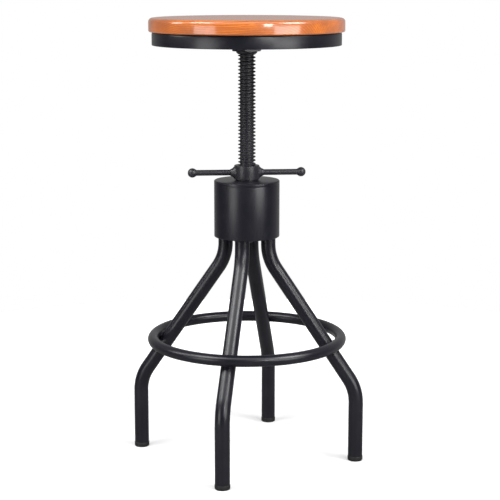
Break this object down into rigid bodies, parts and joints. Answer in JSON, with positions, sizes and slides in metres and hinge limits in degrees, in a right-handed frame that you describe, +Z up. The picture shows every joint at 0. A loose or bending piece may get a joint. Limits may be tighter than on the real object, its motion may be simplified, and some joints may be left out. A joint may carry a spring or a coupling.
{
  "type": "machinist stool",
  "caption": "Round wooden seat on a steel pan, raised by a long screw in the hub of a bent tube frame with a foot ring, and locked by a nut with a T-handle.",
  "frame": {"origin": "on the floor, on the screw's axis", "axes": "+Z up along the screw, -Y towards the front leg, +X towards the right leg; the legs point along X and Y"},
  "size_m": [0.411, 0.411, 0.76],
  "materials": {
    "powder_coat": "satin black powder coat on steel",
    "lock_black": "semi-gloss black on cast and turned steel",
    "blackened_thread": "black, lightly oiled machined steel",
    "fastener_steel": "zinc plated",
    "seat_wood": "orange-brown stained and lacquered hardwood",
    "cap_plastic": "black, matt"
  },
  "bodies": {
    "frame": {"hub_shell": "powder_coat", "hub_top_plate": "powder_coat", "hub_bottom_plate": "powder_coat", "thread_bush": "powder_coat", "leg_front": "powder_coat", "leg_right": "powder_coat", "leg_back": "powder_coat", "leg_left": "powder_coat", "foot_ring": "powder_coat", "foot_cap_front": "cap_plastic", "foot_cap_right": "cap_plastic", "foot_cap_back": "cap_plastic", "foot_cap_left": "cap_plastic"},
    "stop": {"stop_washer": "lock_black"},
    "seat": {"seat_screw": "blackened_thread", "stop_bolt": "lock_black", "seat_nut": "powder_coat", "seat_nut_weld": "powder_coat", "screw_flange": "powder_coat", "flange_bolts": "fastener_steel", "seat_pan": "powder_coat", "wooden_seat": "seat_wood"},
    "lock_ring": {"lock_washer": "lock_black"},
    "lock": {"lock_nut": "lock_black", "handle_arm_left": "lock_black", "handle_arm_right": "lock_black", "handle_ball_left": "lock_black", "handle_ball_right": "lock_black"}
  },
  "joints": [
    {"name": "seat_lift", "type": "slide", "parent": "frame", "child": "stop", "axis": [0, 0, 1], "range_m": [-0.1681, 0]},
    {"name": "seat_turn", "type": "hinge", "parent": "stop", "child": "seat", "pos_m": [0, 0, 0.7], "axis": [0, 0, 1], "range_deg": [-10080, 0]},
    {"name": "lock_lift", "type": "slide", "parent": "frame", "child": "lock_ring", "axis": [0, 0, 1], "range_m": [0, 0.0061]},
    {"name": "lock_turn", "type": "hinge", "parent": "lock_ring", "child": "lock", "pos_m": [0, 0, 0.499], "axis": [0, 0, 1], "range_deg": [0, 360]}
  ],
  "couplings": [
    {"joint": "seat_lift", "follows": "seat_turn", "m_per_rad": 0.00095493},
    {"joint": "lock_lift", "follows": "lock_turn", "m_per_rad": 0.00095493}
  ]
}
